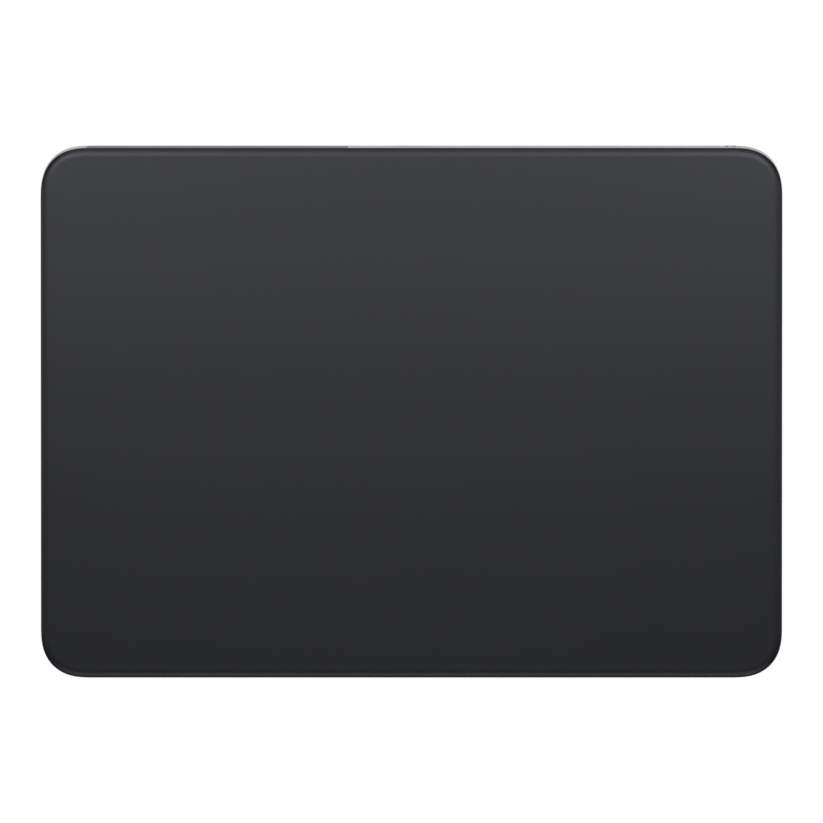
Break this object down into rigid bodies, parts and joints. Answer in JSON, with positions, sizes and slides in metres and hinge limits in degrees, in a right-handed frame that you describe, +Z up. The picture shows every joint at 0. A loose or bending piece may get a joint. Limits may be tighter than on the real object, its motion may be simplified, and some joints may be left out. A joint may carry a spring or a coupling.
{
  "type": "trackpad",
  "caption": "Wireless desktop trackpad: wedge-shaped aluminium body under a full black glass touch surface, with a rear charging port and slide switch.",
  "frame": {"origin": "on the desk, under the middle of the object's bounding box", "axes": "+X to the user's right, along the long side; +Y to the rear, towards the port; +Z up, square to the desk"},
  "size_m": [0.16, 0.1149, 0.0109],
  "materials": {
    "enclosure_metal": "bead-blasted and anodised silver",
    "base_metal": "fine matte anodised",
    "face_glass": "opaque black, satin etched face",
    "window_plastic": "fine matte grey",
    "knob_plastic": "light satin",
    "switch_plastic": "black moulded",
    "foot_rubber": "soft grey",
    "pad_rubber": "silicone elastomer",
    "spring_steel": "rolled strip",
    "core_iron": "stacked laminations",
    "shell_steel": "bright drawn",
    "coil_copper": "enamelled copper wire",
    "contact_gold": "gold flashed",
    "board_laminate": "solder-masked laminate",
    "chip_plastic": "moulded package",
    "circuit_film": "polyimide film with copper tracks",
    "cell_foil": "laminated pouch foil",
    "adhesive": "pressure-sensitive sheet"
  },
  "bodies": {
    "chassis": {"antenna_connector": "switch_plastic", "antenna_flex": "circuit_film", "antenna_window": "window_plastic", "base_adhesive": "adhesive", "base_plate": "base_metal", "battery_board": "board_laminate", "battery_connector": "switch_plastic", "battery_flex": "circuit_film", "board_chips": "chip_plastic", "board_screws": "shell_steel", "enclosure": "enclosure_metal", "flexure_screws": "shell_steel", "front_left_flexure": "spring_steel", "front_left_foot": "foot_rubber", "front_left_strain_gauge": "circuit_film", "front_right_flexure": "spring_steel", "front_right_foot": "foot_rubber", "front_right_strain_gauge": "circuit_film", "haptic_bracket": "spring_steel", "haptic_connector": "switch_plastic", "haptic_core": "core_iron", "haptic_flex": "circuit_film", "haptic_screws": "shell_steel", "left_battery_cell": "cell_foil", "left_cell_adhesive": "adhesive", "left_coil": "coil_copper", "left_gauge_flex": "circuit_film", "main_board": "board_laminate", "middle_coil": "coil_copper", "port_contacts": "contact_gold", "port_shell": "shell_steel", "port_tongue": "switch_plastic", "processor_shield": "shell_steel", "radio_shield": "shell_steel", "rear_left_flexure": "spring_steel", "rear_left_foot": "foot_rubber", "rear_left_strain_gauge": "circuit_film", "rear_right_flexure": "spring_steel", "rear_right_foot": "foot_rubber", "rear_right_strain_gauge": "circuit_film", "right_battery_cell": "cell_foil", "right_cell_adhesive": "adhesive", "right_coil": "coil_copper", "right_gauge_flex": "circuit_film", "sensor_connector": "switch_plastic", "sensor_flex": "circuit_film", "switch_body": "switch_plastic"},
    "flexure_pads": {"front_left_pad": "pad_rubber", "front_right_pad": "pad_rubber", "rear_left_pad": "pad_rubber", "rear_right_pad": "pad_rubber"},
    "touch_plate": {"glass_plate": "face_glass", "sensor_board": "board_laminate", "sensor_chips": "chip_plastic", "stiffener_plate": "spring_steel", "attraction_plate": "spring_steel"},
    "power_slider": {"power_knob": "knob_plastic", "power_carriage": "switch_plastic", "switch_lever": "switch_plastic"}
  },
  "joints": [
    {"name": "plate_press", "type": "slide", "parent": "chassis", "child": "flexure_pads", "axis": [0, 0.0532, -0.9986], "range_m": [0, 0.0002], "stiffness_N_per_m": 20000, "springref_m": -0.0001, "deforming": ["front_left_flexure", "front_right_flexure", "rear_left_flexure", "rear_right_flexure", "sensor_flex"]},
    {"name": "haptic_shift", "type": "slide", "parent": "flexure_pads", "child": "touch_plate", "axis": [1, 0, 0], "range_m": [-0.00015, 0.00015], "stiffness_N_per_m": 20000},
    {"name": "power_slide", "type": "slide", "parent": "chassis", "child": "power_slider", "axis": [-1, 0, 0], "range_m": [0, 0.002]}
  ]
}
